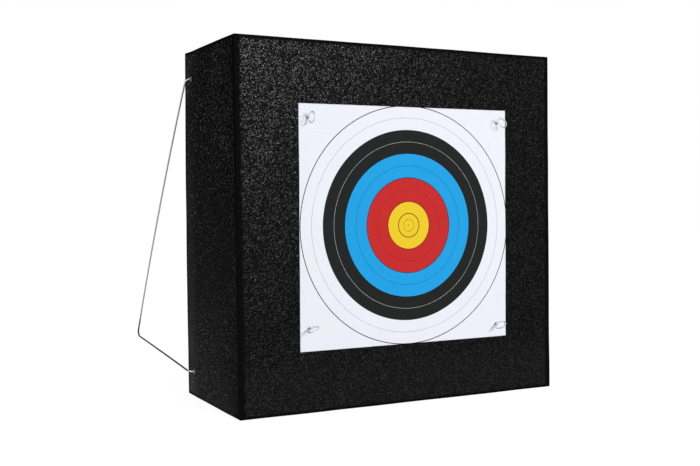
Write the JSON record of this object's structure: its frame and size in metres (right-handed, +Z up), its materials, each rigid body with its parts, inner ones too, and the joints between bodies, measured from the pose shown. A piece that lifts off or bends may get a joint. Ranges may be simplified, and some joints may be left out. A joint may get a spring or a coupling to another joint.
{
  "type": "archery target with stand",
  "caption": "Square black foam archery block with a pinned ten-ring paper face, propped up from behind by bent wire legs that push into its sides.",
  "frame": {"origin": "centre of the foam block's underside, on the floor", "axes": "+Z up, -Y out of the shot face, +Y towards the feet of the wire legs, +X to the right as the archer sees it"},
  "size_m": [0.6232, 0.5788, 0.6],
  "materials": {
    "foam": "matte",
    "printed_paper": "matte",
    "clear_plastic": "gloss",
    "wire_steel": "satin",
    "washer_steel": "satin"
  },
  "bodies": {
    "block": {"foam_block": "foam"},
    "face": {"target_face": "printed_paper"},
    "pin_top_left": {"pin_top_left": "clear_plastic"},
    "pin_top_right": {"pin_top_right": "clear_plastic"},
    "pin_bottom_left": {"pin_bottom_left": "clear_plastic"},
    "pin_bottom_right": {"pin_bottom_right": "clear_plastic"},
    "leg_left": {"leg_left": "wire_steel", "washer_left_top": "washer_steel", "washer_left_bottom": "washer_steel"},
    "leg_right": {"leg_right": "wire_steel", "washer_right_top": "washer_steel", "washer_right_bottom": "washer_steel"}
  },
  "joints": [
    {"name": "face_lift_off", "type": "slide", "parent": "block", "child": "face", "axis": [0, -1, 0], "range_m": [0, 0.08]},
    {"name": "pin_top_left_pull", "type": "slide", "parent": "face", "child": "pin_top_left", "axis": [0, -1, 0], "range_m": [0, 0.065]},
    {"name": "pin_top_right_pull", "type": "slide", "parent": "face", "child": "pin_top_right", "axis": [0, -1, 0], "range_m": [0, 0.065]},
    {"name": "pin_bottom_left_pull", "type": "slide", "parent": "face", "child": "pin_bottom_left", "axis": [0, -1, 0], "range_m": [0, 0.065]},
    {"name": "pin_bottom_right_pull", "type": "slide", "parent": "face", "child": "pin_bottom_right", "axis": [0, -1, 0], "range_m": [0, 0.065]},
    {"name": "leg_left_pull", "type": "slide", "parent": "block", "child": "leg_left", "axis": [-1, 0, 0], "range_m": [0, 0.09]},
    {"name": "leg_right_pull", "type": "slide", "parent": "block", "child": "leg_right", "axis": [1, 0, 0], "range_m": [0, 0.09]}
  ]
}
